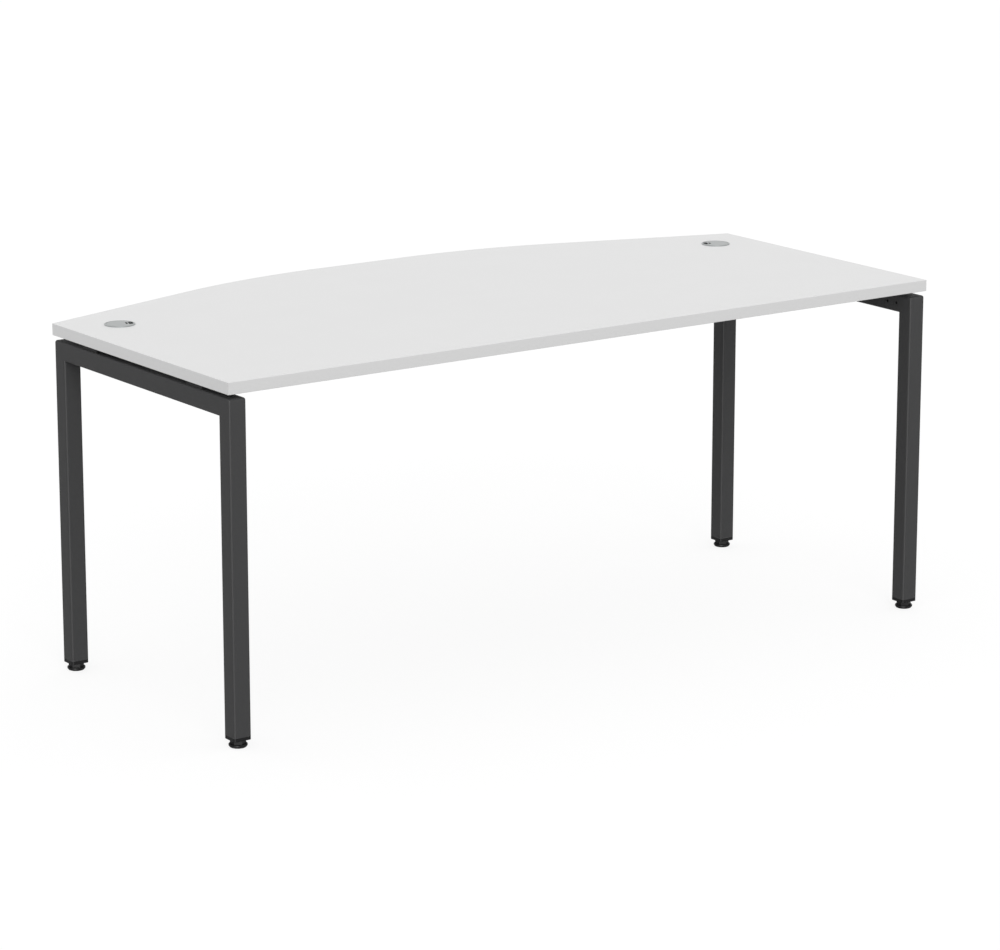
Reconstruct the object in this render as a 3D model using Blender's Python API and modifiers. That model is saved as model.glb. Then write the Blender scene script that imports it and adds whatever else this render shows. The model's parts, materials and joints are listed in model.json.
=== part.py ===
"""Executive desk: a laminated top with a bowed far edge, on two welded frames of square tube.

The length runs along X, the user sits at the near edge (-Y), and the floor is at Z = 0.
The origin is on the floor, under the middle of the whole desk.
"""

import math

import bmesh
import bpy

# Overall sizes, in metres
desk_length = 1.8
end_depth = 0.7
desk_height = 0.75
top_thickness = 0.025

# Bowed far edge: straight runs at both ends, an arc on each side, a flat middle
bow_angle = math.radians(17.9)
bow_radius = 1.24
bow_flat = 0.232
bow_steps = 12

# Edge bands
band_thickness = 0.002
band_rounding = 0.0009

# Square tube of the side frames
tube_size = 0.040
tube_wall = 0.002
tube_corner = 0.005
frame_inset = 0.0025
shadow_gap = 0.010
weld_gap = 0.0003

# Holes that the inner wall of each rail carries for a panel
panel_hole_radius = 0.00325
panel_hole_first = 0.050
panel_hole_spacing = 0.030

# Square end cap in each leg
cap_flange = 0.007
cap_edge = 0.0008
plug_height = 0.020
plug_wall = 0.0016
ridge_depth = 0.001
ridge_height = 0.0015
ridge_pitch = 0.005
ridge_count = 3
boss_wall = 0.003
boss_height = 0.013

# Captive nut and leveller under each leg
nut_across = 0.016
nut_height = 0.008
nut_floor = 0.002
stud_radius = 0.005
stud_chamfer = 0.001
stud_seat = 0.003
leveller_travel = 0.015
stud_spare = 0.005
foot_height = 0.016
disc_radius = 0.01925
disc_height = 0.0072
disc_rim = 0.0035
disc_shoulder = 0.0016
sole_radius = 0.0165
collar_radius = 0.0164
collar_edge = 0.0006
collar_turn = math.radians(30)

# Spacer blocks that hold the top off the rails
spacer_width = 0.030
spacer_length = 0.060
spacer_from_end = 0.1395
spacer_corner = 0.002

# Folded steel beams under the top, and the brackets at their ends
beam_width = 0.060
beam_height = 0.025
beam_sheet = 0.002
beam_bend = 0.004
beam_from_end = 0.1725
beam_end_gap = 0.0008
bracket_sheet = 0.003
bracket_bend = 0.005
bracket_reach = 0.050
bracket_below_bolts = 0.0076
bracket_side_gap = 0.001
bracket_bolt_spacing = 0.030

# Bolts and screws
bolt_radius = 0.003
bolt_head_radius = 0.0055
bolt_head_height = 0.0035
bolt_socket_radius = 0.0023
bolt_edge = 0.0006
bolt_bite = 0.015
bolt_reach = 0.006
access_clearance = 0.002
screw_radius = 0.002
screw_head_radius = 0.0045
screw_head_height = 0.0028
screw_socket_radius = 0.0018
screw_edge = 0.0009
screw_bite = 0.014

# Cable grommets
grommet_from_end = 0.109
grommet_from_back = 0.0914
bore_radius = 0.030
flange_radius = 0.03225
flange_height = 0.0018
flange_edge = 0.0008
sleeve_depth = 0.020
sleeve_wall = 0.0012
ledge_width = 0.0017
cover_thickness = 0.0025
cover_edge = 0.0006
skirt_depth = 0.004
skirt_wall = 0.0012
mouth_start = 0.0185
mouth_width = 0.022
mouth_corner = 0.003
slot_width = 0.0044
slot_length = 0.016
slot_bar = 0.0021
left_cover_turn = math.radians(-20)
right_cover_turn = math.radians(153)

# Clearance between pieces that touch, and how far a cutter runs past what it cuts
fit_gap = 0.0003
overrun = 0.004

# How finely the round shapes are divided, and how meshes are cleaned
corner_steps = 4
plug_steps = 2
bend_steps = 4
edge_steps = 2
bolt_segments = 10
stud_segments = 16
disc_segments = 32
grommet_segments = 40
smooth_angle = math.radians(35)
flat_angle = math.radians(0.05)
weld_distance = 0.000002

quarter_turn = math.pi / 2
facing_x = (quarter_turn, 0, quarter_turn)
facing_y = (quarter_turn, 0, 0)

# Places that follow from the sizes above
underside = desk_height - top_thickness
rail_top = underside - shadow_gap
leg_bottom = foot_height + cap_flange + fit_gap
bow_run = desk_length / 2 - bow_flat / 2 - bow_radius * math.sin(bow_angle)
bow_rise = bow_run * math.tan(bow_angle) + bow_radius * (1 - math.cos(bow_angle))
near_edge = -(end_depth + bow_rise) / 2
end_back = near_edge + end_depth
frame_near = near_edge + frame_inset
frame_far = end_back - frame_inset
frame_middle = (frame_near + frame_far) / 2
frame_x = desk_length / 2 - frame_inset - tube_size / 2
rail_inner = frame_x - tube_size / 2
rail_middle = rail_top - tube_size / 2
near_leg_y = frame_near + tube_size / 2
far_leg_y = frame_far - tube_size / 2
web_under = underside - fit_gap - beam_sheet
bracket_top = web_under - fit_gap
bracket_under = bracket_top - bracket_sheet
bracket_drop = bracket_top - rail_middle + bracket_below_bolts
sides = {"left": -1, "right": 1}
legs = {"near": near_leg_y, "far": far_leg_y}
spacers = {"near": frame_near + spacer_from_end, "far": frame_far - spacer_from_end}
beams = {"near": frame_near + beam_from_end, "far": frame_far - beam_from_end}


def clear_scene():
    """Removes whatever the file holds before the desk is built."""
    for thing in list(bpy.data.objects):
        bpy.data.objects.remove(thing, do_unlink=True)


def collection(name):
    """A collection of this name in the scene."""
    made = bpy.data.collections.new(name)
    bpy.context.scene.collection.children.link(made)
    return made


def finish(name, colour, roughness, metallic):
    """A plain surface finish."""
    made = bpy.data.materials.new(name)
    made.use_nodes = True
    shader = made.node_tree.nodes["Principled BSDF"]
    shader.inputs["Base Color"].default_value = (*colour, 1)
    shader.inputs["Roughness"].default_value = roughness
    shader.inputs["Metallic"].default_value = metallic
    return made


clear_scene()
desk = collection("executive_desk")
cutters = collection("desk_cutters")
laminate = finish("laminate", (0.74, 0.74, 0.74), 0.45, 0)
edge_plastic = finish("edge_band_plastic", (0.70, 0.70, 0.70), 0.4, 0)
powder_coat = finish("powder_coat", (0.052, 0.052, 0.054), 0.5, 0.1)
black_plastic = finish("black_plastic", (0.02, 0.02, 0.021), 0.4, 0)
spacer_plastic = finish("spacer_plastic", (0.035, 0.035, 0.036), 0.6, 0)
zinc = finish("zinc_plated_steel", (0.55, 0.56, 0.58), 0.35, 1)
satin_metal = finish("satin_grommet_metal", (0.48, 0.50, 0.50), 0.35, 0.7)


def arc(centre, radius, start, sweep, steps):
    """Points along an arc, with both of its ends."""
    points = []
    for i in range(steps + 1):
        angle = start + sweep * i / steps
        points.append((centre[0] + radius * math.cos(angle), centre[1] + radius * math.sin(angle)))
    return points


def circle(radius, segments):
    """A whole circle about the centre."""
    return arc((0, 0), radius, 0, 2 * math.pi, segments)[:-1]


def hexagon(radius, turn):
    """A hexagon about the centre, by its corner radius."""
    return arc((0, 0), radius, turn, 2 * math.pi, 6)[:-1]


def rounded_rectangle(width, depth, radius, steps=corner_steps):
    """A rectangle about the centre with round corners."""
    points = []
    for turn, (side, end) in enumerate(((1, 1), (-1, 1), (-1, -1), (1, -1))):
        centre = (side * (width / 2 - radius), end * (depth / 2 - radius))
        points += arc(centre, radius, turn * quarter_turn, quarter_turn, steps)
    return points


def outline_mesh(name, loops, thickness):
    """A flat outline, with its holes, given thickness to both sides of its plane."""
    curve = bpy.data.curves.new(name, "CURVE")
    curve.dimensions = "2D"
    curve.fill_mode = "BOTH"
    curve.extrude = thickness / 2
    for points in loops:
        spline = curve.splines.new("POLY")
        spline.points.add(len(points) - 1)
        for point, (x, y) in zip(spline.points, points):
            point.co = (x, y, 0, 1)
        spline.use_cyclic_u = True
    guide = bpy.data.objects.new(name, curve)
    bpy.context.scene.collection.objects.link(guide)
    graph = bpy.context.evaluated_depsgraph_get()
    mesh = bpy.data.meshes.new_from_object(guide.evaluated_get(graph))
    bpy.data.objects.remove(guide)
    bpy.data.curves.remove(curve)
    shape = bmesh.new()
    shape.from_mesh(mesh)
    bmesh.ops.remove_doubles(shape, verts=shape.verts, dist=weld_distance)
    bmesh.ops.recalc_face_normals(shape, faces=shape.faces)
    shape.to_mesh(mesh)
    shape.free()
    return mesh


def turned_mesh(name, profile):
    """A profile of (radius, height) points that runs down the outer side, for a Screw."""
    mesh = bpy.data.meshes.new(name)
    points = [(radius, 0, height) for radius, height in profile]
    edges = [(i, i + 1) for i in range(len(points) - 1)]
    mesh.from_pydata(points, edges, [])
    return mesh


def place(name, mesh, material, location, rotation=(0, 0, 0)):
    """A piece of the desk at its place."""
    piece = bpy.data.objects.new(name, mesh)
    piece.location = location
    piece.rotation_euler = rotation
    if material:
        mesh.materials.append(material)
        desk.objects.link(piece)
    else:
        cutters.objects.link(piece)
        piece.hide_render = True
        piece.display_type = "WIRE"
    return piece


def smooth(piece):
    """Shades the round faces smooth and keeps the sharp edges."""
    piece.data.shade_smooth()
    piece.data.set_sharp_from_angle(angle=smooth_angle)
    return piece


def turn_profile(piece, segments):
    """Turns the piece's profile once about its own Z axis."""
    screw = piece.modifiers.new("turned", "SCREW")
    screw.steps = segments
    screw.render_steps = segments
    screw.use_merge_vertices = True
    screw.merge_threshold = weld_distance
    screw.use_smooth_shade = True
    return piece


def combine(piece, other, operation):
    """A Boolean between the piece and another shape."""
    boolean = piece.modifiers.new(other.name, "BOOLEAN")
    boolean.operation = operation
    boolean.solver = "EXACT"
    boolean.object = other


def round_edges(piece, radius, chosen, segments=corner_steps):
    """Rounds the edges for which chosen(one end, other end) is true, in the piece's own axes."""
    shape = bmesh.new()
    shape.from_mesh(piece.data)
    bmesh.ops.dissolve_limit(shape, angle_limit=flat_angle, verts=shape.verts, edges=shape.edges)
    weight = shape.edges.layers.float.new("bevel_weight_edge")
    for edge in shape.edges:
        edge[weight] = float(chosen(edge.verts[0].co, edge.verts[1].co))
    shape.to_mesh(piece.data)
    shape.free()
    bevel = piece.modifiers.new("rounding", "BEVEL")
    bevel.width = radius
    bevel.segments = segments
    bevel.limit_method = "WEIGHT"
    bevel.use_clamp_overlap = False


def drill(piece, centre, radius, length, rotation=(0, 0, 0), segments=bolt_segments):
    """Cuts a round hole with its middle at this point, along Z unless it is turned."""
    mesh = bpy.data.meshes.new(piece.name + "_hole")
    shape = bmesh.new()
    bmesh.ops.create_cone(
        shape, cap_ends=True, segments=segments, radius1=radius, radius2=radius, depth=length
    )
    shape.to_mesh(mesh)
    shape.free()
    combine(piece, place(mesh.name, mesh, None, centre, rotation), "DIFFERENCE")


def bow_line(x, inward):
    """The straight run of the bowed edge at this x, moved inward by this much."""
    along = desk_length / 2 - abs(x)
    return end_back + along * math.tan(bow_angle) - inward / math.cos(bow_angle)


def bow_points(inward, reach):
    """The bowed edge from x = -reach to x = reach, moved inward by this much."""
    arc_y = end_back + bow_rise - bow_radius
    radius = bow_radius - inward
    up = arc((-bow_flat / 2, arc_y), radius, quarter_turn + bow_angle, -bow_angle, bow_steps)
    down = arc((bow_flat / 2, arc_y), radius, quarter_turn, -bow_angle, bow_steps)
    ends = bow_line(reach, inward)
    return [(-reach, ends), *up, *down, (reach, ends)]


def on_bow(x, y):
    """Whether a point lies on the outer side of the bowed band, and not on its inner side."""
    over_arc = min(max(abs(x) - bow_flat / 2, 0), bow_radius * math.sin(bow_angle))
    drop = bow_radius - math.sqrt(bow_radius**2 - over_arc**2)
    beyond = max(abs(x) - bow_flat / 2 - over_arc, 0)
    edge = end_back + bow_rise - drop - beyond * math.tan(bow_angle)
    return edge - y < band_thickness / 2


def tabletop_core():
    """Laminated board with the grommet bores, and pilot holes for bolts and screws below."""
    inward = band_thickness + fit_gap
    half = desk_length / 2 - inward
    near = near_edge + inward
    outline = [(-half, near), (half, near), *reversed(bow_points(inward, half))]
    middle = desk_height - top_thickness / 2
    mesh = outline_mesh("tabletop_core", [outline], top_thickness)
    core = place("tabletop_core", mesh, laminate, (0, 0, middle))
    through = top_thickness + 2 * overrun
    for side in sides.values():
        x = side * (desk_length / 2 - grommet_from_end)
        y = end_back - grommet_from_back
        drill(core, (x, y, middle), bore_radius, through, segments=grommet_segments)
        for spacer_y in spacers.values():
            depth = bolt_bite + fit_gap + overrun
            centre = (side * frame_x, spacer_y, underside - overrun + depth / 2)
            drill(core, centre, bolt_radius + fit_gap, depth)
    for beam_y in beams.values():
        for x in screw_places():
            depth = screw_bite + fit_gap + overrun
            centre = (x, beam_y, underside - overrun + depth / 2)
            drill(core, centre, screw_radius + fit_gap, depth)


def straight_band(name, outline, outer_edge):
    """A straight band, with its two outer long edges rounded."""
    mesh = outline_mesh(name, [outline], top_thickness)
    band = place(name, mesh, edge_plastic, (0, 0, desk_height - top_thickness / 2))
    round_edges(band, band_rounding, outer_edge, edge_steps)
    smooth(band)


def edge_bands():
    """Plastic bands glued round the board: one for each side of the top."""
    half = desk_length / 2
    inner = near_edge + band_thickness
    near = [(-half, near_edge), (half, near_edge), (half, inner), (-half, inner)]
    straight_band(
        "near_edge_band",
        near,
        lambda a, b: max(a.y, b.y) < near_edge + band_thickness / 2 and a.z * b.z > 0,
    )
    start = inner + fit_gap
    for side_name, side in sides.items():
        stop = band_thickness + fit_gap
        deep = half - band_thickness
        end = [
            (side * half, start),
            (side * half, bow_line(half, stop)),
            (side * deep, bow_line(deep, stop)),
            (side * deep, start),
        ]
        straight_band(
            side_name + "_edge_band",
            end,
            lambda a, b: min(abs(a.x), abs(b.x)) > half - band_thickness / 2 and a.z * b.z > 0,
        )
    bow = bow_points(0, half) + bow_points(band_thickness, half)[::-1]
    straight_band(
        "bowed_edge_band",
        bow,
        lambda a, b: on_bow(a.x, a.y) and on_bow(b.x, b.y) and a.z * b.z > 0,
    )


def frame_outline(depth, low):
    """The inverted U of a side frame in Y and Z, this deep inside the tube's skin."""
    near = frame_near + depth
    far = frame_far - depth
    top = rail_top - depth
    wide = tube_size - 2 * depth
    return [
        (near, low),
        (near, top),
        (far, top),
        (far, low),
        (far - wide, low),
        (far - wide, top - wide),
        (near + wide, top - wide),
        (near + wide, low),
    ]


def frame_edges(depth, low):
    """Which edges of the U are round: its long edges and its two outer corners."""
    top = rail_top - depth

    def chosen(a, b):
        if a.z * b.z < 0:
            return min(a.y, b.y) > top - tube_wall
        return max(a.y, b.y) > low + tube_wall

    return chosen


def near_leg_region():
    """The part of the U that is the near leg, up to its mitre."""
    skew = weld_gap / 2 * math.sqrt(2)
    outer = frame_near - overrun
    inner = frame_near + tube_size + overrun
    return [
        (outer, leg_bottom - overrun),
        (inner, leg_bottom - overrun),
        (inner, rail_top - tube_size - overrun - skew),
        (outer, rail_top + overrun - skew),
    ]


def far_leg_region():
    """The part of the U that is the far leg: the near leg's, turned about the frame's middle."""
    return [(2 * frame_middle - y, z) for y, z in near_leg_region()]


def rail_region():
    """The part of the U that is the top rail, between its two mitres."""
    skew = weld_gap / 2 * math.sqrt(2)
    low = rail_top - tube_size - overrun + skew
    high = rail_top + overrun + skew
    return [
        (frame_near - overrun, high),
        (frame_far + overrun, high),
        (frame_far - tube_size - overrun, low),
        (frame_near + tube_size + overrun, low),
    ]


def frame_tube(name, side, region):
    """One mitred tube of a side frame, open inside from end to end."""
    at = (side * frame_x, 0, 0)
    skin_mesh = outline_mesh(name, [frame_outline(0, leg_bottom)], tube_size)
    tube = place(name, skin_mesh, powder_coat, at, facing_x)
    round_edges(tube, tube_corner, frame_edges(0, leg_bottom))
    low = leg_bottom - overrun
    hollow = tube_size - 2 * tube_wall
    void_mesh = outline_mesh(name + "_void", [frame_outline(tube_wall, low)], hollow)
    void = place(name + "_void", void_mesh, None, at, facing_x)
    round_edges(void, tube_corner - tube_wall, frame_edges(tube_wall, low))
    combine(tube, void, "DIFFERENCE")
    region_mesh = outline_mesh(name + "_region", [region], tube_size + 2 * overrun)
    combine(tube, place(name + "_region", region_mesh, None, at, facing_x), "INTERSECT")
    return smooth(tube)


def side_frames():
    """Two inverted-U frames: each of two legs and a top rail, mitred and welded."""
    for side_name, side in sides.items():
        frame_tube(side_name + "_near_leg", side, near_leg_region())
        frame_tube(side_name + "_far_leg", side, far_leg_region())
        rail = frame_tube(side_name + "_top_rail", side, rail_region())
        wall = tube_wall + 2 * overrun
        inner = side * (rail_inner + tube_wall / 2)
        for hole in range(2):
            y = near_edge + panel_hole_first + hole * panel_hole_spacing
            drill(rail, (inner, y, rail_middle), panel_hole_radius, wall, facing_x)
        for beam_y in beams.values():
            for end in (-1, 1):
                y = beam_y + end * bracket_bolt_spacing / 2
                drill(rail, (inner, y, rail_middle), bolt_radius + fit_gap, wall, facing_x)
        for y in spacers.values():
            upper = rail_top - tube_wall / 2
            lower = rail_top - tube_size + tube_wall / 2
            drill(rail, (side * frame_x, y, upper), bolt_radius + fit_gap, wall)
            access = bolt_head_radius + access_clearance
            drill(rail, (side * frame_x, y, lower), access, wall)


def prism(name, loops, low, high, material, x, y):
    """An upright prism from one height to another, about this place."""
    mesh = outline_mesh(name, loops, high - low)
    return place(name, mesh, material, (x, y, (low + high) / 2))


def leg_cap(name, x, y):
    """Square cap: a flange under the tube, a ribbed plug inside it and a boss for the nut."""
    square = rounded_rectangle(tube_size, tube_size, tube_corner)
    cap = prism(name, [square], foot_height, foot_height + cap_flange, black_plastic, x, y)
    round_edges(cap, cap_edge, lambda a, b: max(a.z, b.z) < 0, 1)
    root = foot_height + cap_flange / 2
    top = leg_bottom + plug_height
    bore = tube_size - 2 * tube_wall - 2 * fit_gap
    body = bore - 2 * ridge_depth
    corner = tube_corner - tube_wall
    shell = rounded_rectangle(body, body, corner, plug_steps)
    combine(cap, prism(name + "_plug", [shell], root, top, None, x, y), "UNION")
    rib = rounded_rectangle(bore, bore, corner, plug_steps)
    for i in range(ridge_count):
        low = leg_bottom + plug_height - ridge_height - (i + 1 / 2) * ridge_pitch
        ring = prism(f"{name}_ridge_{i}", [rib], low, low + ridge_height, None, x, y)
        combine(cap, ring, "UNION")
    inside = body - 2 * plug_wall
    hollow = rounded_rectangle(inside, inside, corner - plug_wall, plug_steps)
    pocket = prism(name + "_hollow", [hollow], leg_bottom, top + overrun, None, x, y)
    combine(cap, pocket, "DIFFERENCE")
    nut_corner = nut_across / math.sqrt(3) + fit_gap
    boss_top = leg_bottom + boss_height
    boss = circle(nut_corner + boss_wall, stud_segments)
    combine(cap, prism(name + "_boss", [boss], root, boss_top, None, x, y), "UNION")
    nut_seat = leg_bottom + nut_floor - fit_gap
    seat = hexagon(nut_corner, collar_turn)
    top_open = boss_top + overrun
    combine(cap, prism(name + "_nut_seat", [seat], nut_seat, top_open, None, x, y), "DIFFERENCE")
    length = 2 * boss_height + cap_flange + 2 * overrun
    drill(cap, (x, y, leg_bottom), stud_radius + fit_gap, length, segments=stud_segments)
    smooth(cap)


def captive_nut(name, x, y):
    """Hexagon nut held in the cap's boss, which the stud screws through."""
    low = leg_bottom + nut_floor
    loops = [
        hexagon(nut_across / math.sqrt(3), collar_turn),
        circle(stud_radius + fit_gap, stud_segments),
    ]
    prism(name, loops, low, low + nut_height, zinc, x, y)


def leveller(name, x, y):
    """Round foot with a hexagon collar, moulded on a threaded stud, on the foot's axis."""
    shoulder = (disc_radius - disc_shoulder, disc_height - disc_shoulder)
    edge = arc(shoulder, disc_shoulder, quarter_turn, -quarter_turn, edge_steps)
    profile = [(0, disc_height), *edge, (disc_radius, disc_rim), (sole_radius, 0), (0, 0)]
    mesh = turned_mesh(name + "_base", profile)
    base = turn_profile(place(name + "_base", mesh, black_plastic, (x, y, 0)), disc_segments)
    collar_mesh = outline_mesh(
        name + "_collar", [hexagon(collar_radius, collar_turn)], foot_height - fit_gap - disc_rim
    )
    at = (x, y, (foot_height - fit_gap + disc_rim) / 2)
    collar = place(name + "_collar", collar_mesh, None, at)
    round_edges(collar, collar_edge, lambda a, b: min(a.z, b.z) > 0, 1)
    combine(base, collar, "UNION")
    bore = 2 * (foot_height - stud_seat + fit_gap)
    centre = (x, y, foot_height)
    drill(base, centre, stud_radius + fit_gap, bore, segments=stud_segments)
    smooth(base)
    top = leg_bottom + nut_floor + nut_height + leveller_travel + stud_spare
    stud_profile = [
        (0, top),
        (stud_radius - stud_chamfer, top),
        (stud_radius, top - stud_chamfer),
        (stud_radius, stud_seat),
        (0, stud_seat),
    ]
    mesh = turned_mesh(name + "_stud", stud_profile)
    turn_profile(place(name + "_stud", mesh, zinc, (x, y, 0)), stud_segments)


def feet():
    """Cap, nut and leveller at the bottom of each leg."""
    for side_name, side in sides.items():
        for end_name, y in legs.items():
            corner = side_name + "_" + end_name
            leg_cap(corner + "_leg_cap", side * frame_x, y)
            captive_nut(corner + "_leg_nut", side * frame_x, y)
            leveller(corner + "_leveller", side * frame_x, y)


def fastener(name, location, rotation, head, shank, edge, socket):
    """A bolt or screw: its head below the origin, its shank up from it, a hexagon recess."""
    head_radius, head_height = head
    shank_radius, shank_length = shank
    profile = [
        (0, shank_length),
        (shank_radius, shank_length),
        (shank_radius, 0),
        (head_radius, 0),
        (head_radius, edge - head_height),
        (head_radius - edge, -head_height),
        (0, -head_height),
    ]
    mesh = turned_mesh(name, profile)
    piece = turn_profile(place(name, mesh, zinc, location, rotation), bolt_segments)
    recess_mesh = outline_mesh(name + "_recess", [hexagon(socket, 0)], head_height)
    recess = place(name + "_recess", recess_mesh, None, (0, 0, -head_height))
    recess.parent = piece
    combine(piece, recess, "DIFFERENCE")


def top_supports():
    """Spacer blocks on the rails, and the bolts that go up through them into the top."""
    for side_name, side in sides.items():
        for end_name, y in spacers.items():
            corner = side_name + "_" + end_name
            low = rail_top + fit_gap
            high = underside - fit_gap
            loops = [
                rounded_rectangle(spacer_width, spacer_length, spacer_corner),
                circle(bolt_radius + fit_gap, bolt_segments),
            ]
            prism(corner + "_spacer", loops, low, high, spacer_plastic, side * frame_x, y)
            seat = rail_top - tube_wall - fit_gap
            fastener(
                corner + "_spacer_bolt",
                (side * frame_x, y, seat),
                (0, 0, 0),
                (bolt_head_radius, bolt_head_height),
                (bolt_radius, underside + bolt_bite - seat),
                bolt_edge,
                bolt_socket_radius,
            )


def screw_places():
    """Where the screws go up through a beam: at both brackets and in the middle."""
    end = rail_inner - bracket_sheet - (bracket_reach - bracket_sheet) / 2
    return (-end, 0, end)


def channel_outline():
    """Section of a beam, folded from sheet, open below, with its web at the top."""
    width = beam_width / 2
    left = (beam_bend - width, -beam_bend)
    right = (width - beam_bend, -beam_bend)
    rows = []
    for depth in (0, beam_sheet):
        bend = beam_bend - depth
        row = [(depth - width, -beam_height)]
        row += arc(left, bend, math.pi, -quarter_turn, bend_steps)
        row += arc(right, bend, quarter_turn, -quarter_turn, bend_steps)
        row += [(width - depth, -beam_height)]
        rows.append(row)
    return rows[0] + rows[1][::-1]


def angle_outline(side):
    """Section of an end bracket: one leg down the rail, the other along under the beam."""
    centre = (bracket_bend, -bracket_bend)
    rows = []
    for depth in (0, bracket_sheet):
        row = [(depth, -bracket_drop)]
        row += arc(centre, bracket_bend - depth, math.pi, -quarter_turn, bend_steps)
        row += [(bracket_reach, -depth)]
        rows.append(row)
    return [(-side * x, z) for x, z in rows[0] + rows[1][::-1]]


def beam_screw(name, x, y, seat):
    """A pan-head screw up into the board, with its head against this height."""
    fastener(
        name,
        (x, y, seat - fit_gap),
        (0, 0, 0),
        (screw_head_radius, screw_head_height),
        (screw_radius, underside + screw_bite - seat + fit_gap),
        screw_edge,
        screw_socket_radius,
    )


def beam(end_name, y):
    """One folded beam with its two end brackets, their bolts and the screws into the top."""
    length = 2 * (rail_inner - beam_end_gap)
    mesh = outline_mesh(end_name + "_beam", [channel_outline()], length)
    at = (0, y, underside - fit_gap)
    channel = place(end_name + "_beam", mesh, powder_coat, at, facing_x)
    for x in screw_places():
        hole = screw_radius + fit_gap
        drill(channel, (x, y, web_under + beam_sheet / 2), hole, beam_sheet + 2 * overrun)
    smooth(channel)
    beam_screw(end_name + "_beam_middle_screw", 0, y, web_under)
    width = beam_width - 2 * (beam_sheet + bracket_side_gap)
    for side_name, side in sides.items():
        name = f"{end_name}_beam_{side_name}_bracket"
        inner = side * (rail_inner - fit_gap)
        mesh = outline_mesh(name, [angle_outline(side)], width)
        bracket = place(name, mesh, powder_coat, (inner, y, bracket_top), facing_y)
        for end, bolt_name in ((-1, "near"), (1, "far")):
            bolt_y = y + end * bracket_bolt_spacing / 2
            through = bracket_sheet + 2 * overrun
            middle = side * (rail_inner - fit_gap - bracket_sheet / 2)
            hole = bolt_radius + fit_gap
            drill(bracket, (middle, bolt_y, rail_middle), hole, through, facing_x)
            seat = side * (rail_inner - 2 * fit_gap - bracket_sheet)
            reach = bracket_sheet + tube_wall + bolt_reach
            fastener(
                f"{name}_{bolt_name}_bolt",
                (seat, bolt_y, rail_middle),
                (0, side * quarter_turn, 0),
                (bolt_head_radius, bolt_head_height),
                (bolt_radius, reach),
                bolt_edge,
                bolt_socket_radius,
            )
        x = side * screw_places()[-1]
        centre = (x, y, bracket_under + bracket_sheet / 2)
        drill(bracket, centre, screw_radius + fit_gap, bracket_sheet + 2 * overrun)
        smooth(bracket)
        beam_screw(f"{end_name}_beam_{side_name}_screw", x, y, bracket_under)


def grommet_liner(name, x, y):
    """Flanged sleeve pressed into the bore, with a ledge inside that carries the cover."""
    outer = bore_radius - fit_gap
    recess = outer - sleeve_wall
    inner = recess - ledge_width
    top = fit_gap + flange_height
    ledge = top - cover_thickness - fit_gap
    rim = (flange_radius - flange_edge, top - flange_edge)
    edge = arc(rim, flange_edge, quarter_turn, -quarter_turn, edge_steps)
    profile = [
        (recess, ledge),
        (recess, top),
        *edge,
        (flange_radius, fit_gap),
        (outer, fit_gap),
        (outer, -sleeve_depth),
        (inner, -sleeve_depth),
        (inner, ledge),
        (recess, ledge),
    ]
    mesh = turned_mesh(name, profile)
    liner = place(name, mesh, satin_metal, (x, y, desk_height))
    turn_profile(liner, grommet_segments)


def grommet_cover(name, x, y, turn):
    """Round cover that turns in the liner, with a cable mouth at its rim and a finger slot."""
    outer = bore_radius - fit_gap - sleeve_wall - fit_gap
    skirt = outer - ledge_width
    top = fit_gap + flange_height
    under = top - cover_thickness
    low = under - skirt_depth
    profile = [
        (0, top),
        (outer - cover_edge, top),
        (outer, top - cover_edge),
        (outer, under),
        (skirt, under),
        (skirt, low),
        (skirt - skirt_wall, low),
        (skirt - skirt_wall, under),
        (0, under),
    ]
    mesh = turned_mesh(name, profile)
    cover = place(name, mesh, satin_metal, (x, y, desk_height), (0, 0, turn))
    turn_profile(cover, grommet_segments)
    height = cover_thickness + skirt_depth + 2 * overrun
    reach = 2 * (flange_radius + overrun - mouth_start)
    shift = (reach / 2 + mouth_start, 0)
    mouth = rounded_rectangle(reach, mouth_width, mouth_corner)
    slot_middle = mouth_start - slot_bar - slot_width / 2
    slot = rounded_rectangle(slot_width, slot_length, slot_width / 2 - fit_gap)
    for cut_name, outline, along in (("mouth", mouth, shift[0]), ("slot", slot, slot_middle)):
        cut_mesh = outline_mesh(f"{name}_{cut_name}", [outline], height)
        cut = place(f"{name}_{cut_name}", cut_mesh, None, (along, 0, (top + low) / 2))
        cut.parent = cover
        combine(cover, cut, "DIFFERENCE")
    smooth(cover)


def grommets():
    """Two cable grommets, near the two far corners."""
    y = end_back - grommet_from_back
    x = desk_length / 2 - grommet_from_end
    grommet_liner("left_grommet_liner", -x, y)
    grommet_cover("left_grommet_cover", -x, y, left_cover_turn)
    grommet_liner("right_grommet_liner", x, y)
    grommet_cover("right_grommet_cover", x, y, right_cover_turn)


tabletop_core()
edge_bands()
side_frames()
feet()
top_supports()
for beam_name, beam_y in beams.items():
    beam(beam_name, beam_y)
grommets()
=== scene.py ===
import json
import math

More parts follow.
